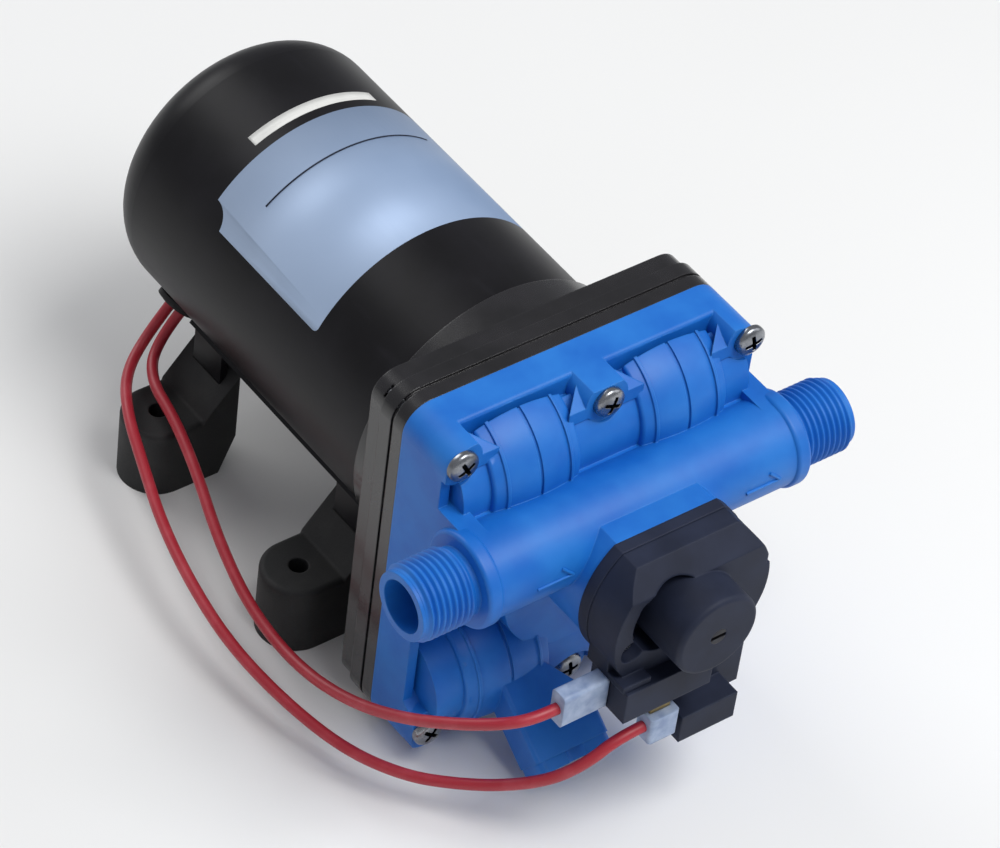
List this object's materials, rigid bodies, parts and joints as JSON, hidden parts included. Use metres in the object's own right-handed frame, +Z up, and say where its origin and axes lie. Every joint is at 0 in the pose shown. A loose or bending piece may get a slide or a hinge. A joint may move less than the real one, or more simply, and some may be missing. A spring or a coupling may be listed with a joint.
{
  "type": "diaphragm water pump",
  "caption": "Electric diaphragm water pump on rubber feet: black motor, ribbed blue head with a threaded port each side, pressure switch on its front, bypass relief below.",
  "frame": {"origin": "on the floor, at the centre of the four mounting holes in the rubber feet", "axes": "+Z up, +Y from the pump head back along the motor, +X along the ports, from the inlet to the outlet"},
  "size_m": [0.1425, 0.22, 0.1156],
  "materials": {
    "blue_plastic": "satin moulding",
    "white_plastic": "plain moulding",
    "black_plastic": "fine-grained moulding",
    "black_paint": "satin black coating",
    "bright_steel": "bright zinc",
    "bearing_steel": "ground",
    "sintered_steel": "sintered",
    "spring_steel": "plain",
    "diecast": "as cast",
    "laminations": "stacked sheet",
    "copper": "enamelled copper",
    "carbon": "pressed carbon",
    "ferrite": "pressed ferrite",
    "bronze": "sintered bronze",
    "brass": "plain",
    "rubber": "matt",
    "red_button": "plain",
    "milky_sleeve": "soft translucent",
    "red_lead": "soft insulation"
  },
  "bodies": {
    "pump": {"upper_housing": "blue_plastic", "head_screws": "bright_steel", "seal_ring": "rubber", "valve_plate": "white_plastic", "inlet_valves": "rubber", "outlet_valve": "rubber", "diaphragm": "rubber", "drive_housing": "black_plastic", "motor_screws": "bright_steel", "motor_front_plate": "diecast", "front_bearing_outer": "bearing_steel", "front_bearing_balls": "bearing_steel", "brush_holder": "black_plastic", "brushes": "carbon", "brush_springs": "spring_steel", "magnets": "ferrite", "rear_bush": "bronze", "motor_can": "black_paint", "cable_grommet": "rubber", "base_saddle": "black_paint", "foot_front_left": "rubber", "foot_front_right": "rubber", "foot_rear_left": "rubber", "foot_rear_right": "rubber", "switch_base": "black_plastic", "switch_cover": "black_plastic", "switch_screws": "bright_steel", "switch_diaphragm": "rubber", "microswitch": "black_plastic", "spade_terminals": "brass", "crimp_terminals": "brass", "side_sleeve": "milky_sleeve", "flag_sleeve": "milky_sleeve", "switch_lead": "red_lead", "supply_lead": "red_lead", "bypass_cap": "blue_plastic", "bypass_screws": "bright_steel"},
    "rotor": {"motor_shaft": "bearing_steel", "armature_core": "laminations", "armature_windings": "copper", "commutator": "copper", "cam": "sintered_steel", "wobble_bearing_inner": "bearing_steel", "front_bearing_inner": "bearing_steel"},
    "wobbler": {"wobble_plate": "white_plastic", "wobble_bearing_outer": "bearing_steel", "wobble_bearing_balls": "bearing_steel", "piston_1": "white_plastic", "piston_2": "white_plastic", "piston_3": "white_plastic", "piston_4": "white_plastic", "piston_5": "white_plastic", "piston_screws": "bright_steel"},
    "relief": {"bypass_poppet": "white_plastic", "bypass_spring": "spring_steel"},
    "plunger": {"switch_plunger": "white_plastic", "switch_spring": "spring_steel"},
    "button": {"microswitch_button": "red_button"},
    "adjuster": {"pressure_adjuster": "spring_steel"}
  },
  "joints": [
    {"name": "rotor_spin", "type": "hinge", "parent": "pump", "child": "rotor", "pos_m": [0, 0, 0.07], "axis": [0, 1, 0], "continuous": true},
    {"name": "wobble", "type": "hinge", "parent": "rotor", "child": "wobbler", "pos_m": [0, -0.0665, 0.07], "axis": [0, 0.9976, 0.0698], "continuous": true},
    {"name": "relief_slide", "type": "slide", "parent": "pump", "child": "relief", "axis": [0, -0.809, -0.5878], "range_m": [0, 0.002], "stiffness_N_per_m": 3000, "springref_m": -0.004},
    {"name": "plunger_slide", "type": "slide", "parent": "pump", "child": "plunger", "axis": [0, -1, 0], "range_m": [0, 0.001], "stiffness_N_per_m": 8000, "springref_m": -0.004},
    {"name": "button_slide", "type": "slide", "parent": "pump", "child": "button", "axis": [0, -1, 0], "range_m": [0, 0.001]},
    {"name": "adjuster_turn", "type": "hinge", "parent": "pump", "child": "adjuster", "pos_m": [0, -0.1438, 0.074], "axis": [0, -1, 0], "range_deg": [-180, 180]}
  ],
  "couplings": [
    {"joint": "wobble", "follows": "rotor_spin", "ratio": -1},
    {"joint": "button_slide", "follows": "plunger_slide", "ratio": 1}
  ]
}
